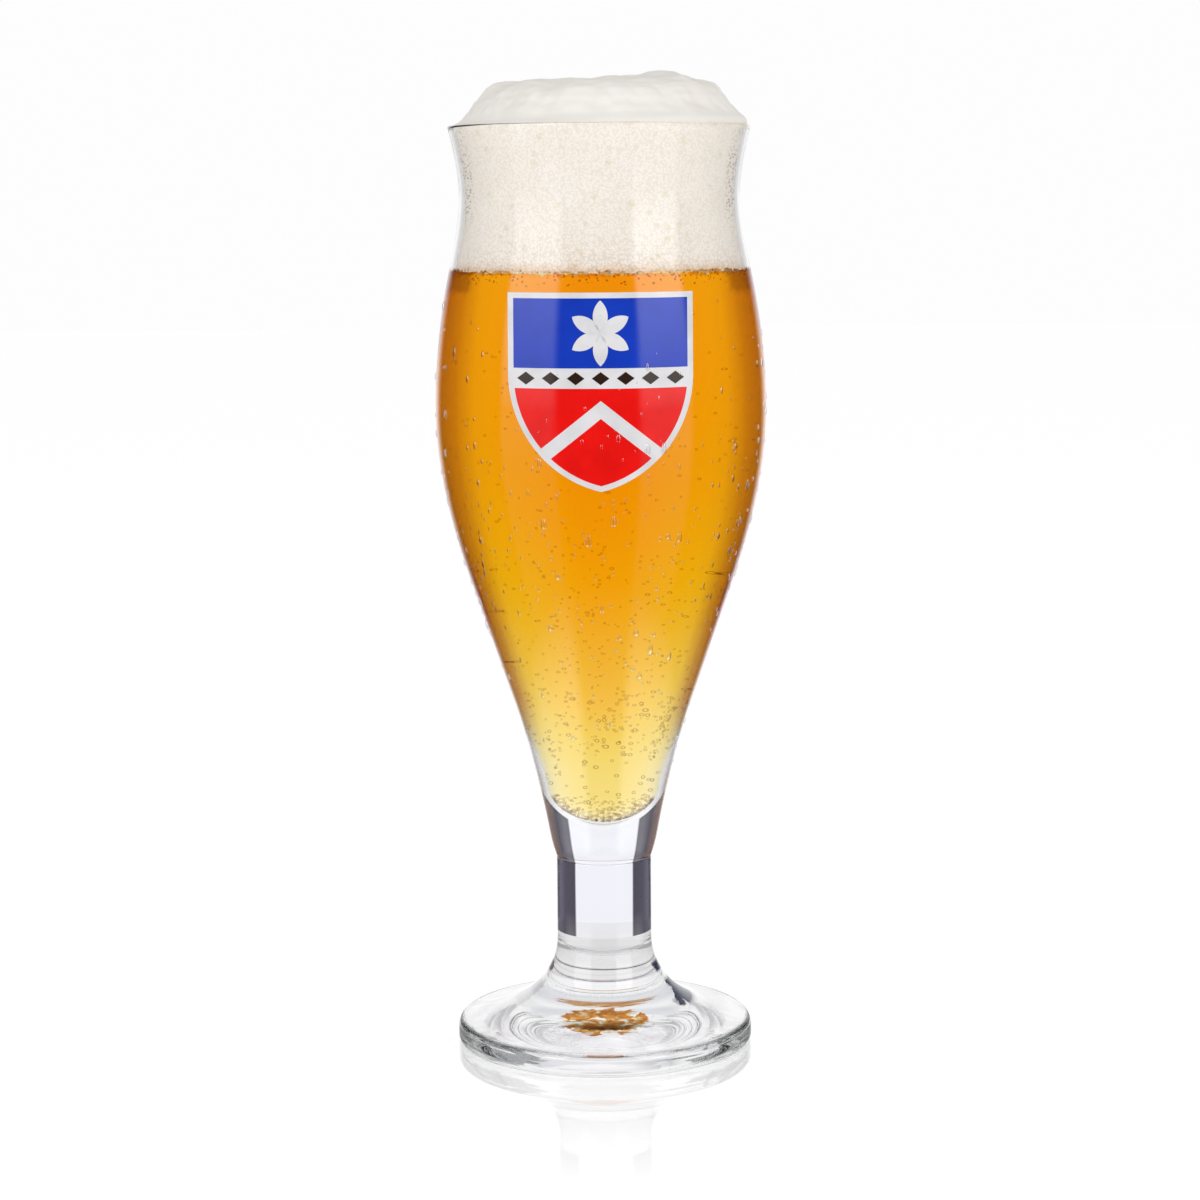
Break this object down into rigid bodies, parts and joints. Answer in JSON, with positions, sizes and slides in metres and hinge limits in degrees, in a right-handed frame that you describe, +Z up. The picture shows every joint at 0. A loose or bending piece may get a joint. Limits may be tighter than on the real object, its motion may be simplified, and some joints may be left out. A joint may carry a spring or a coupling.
{
  "type": "footed wheat beer glass",
  "caption": "Tall footed wheat beer glass, full of golden beer with a thick head of foam, and a printed shield on the bowl.",
  "frame": {"origin": "on the table, in the middle of the foot", "axes": "+Z up along the glass, -Y towards the printed front, +X to the right of it"},
  "size_m": [0.0862, 0.0863, 0.2554],
  "materials": {
    "clear_glass": "clear, fire polished",
    "white_enamel": "fired enamel, glossy",
    "blue_enamel": "fired enamel, glossy",
    "red_enamel": "fired enamel, glossy",
    "brown_enamel": "fired enamel, glossy",
    "wheat_beer": "clear liquid, golden orange",
    "beer_foam": "fine wet foam, warm white"
  },
  "bodies": {
    "root": {"bowl": "clear_glass", "stem": "clear_glass", "foot": "clear_glass", "print_white": "white_enamel", "print_blue": "blue_enamel", "print_red": "red_enamel", "print_brown": "brown_enamel", "beer": "wheat_beer", "foam": "beer_foam"}
  },
  "joints": []
}
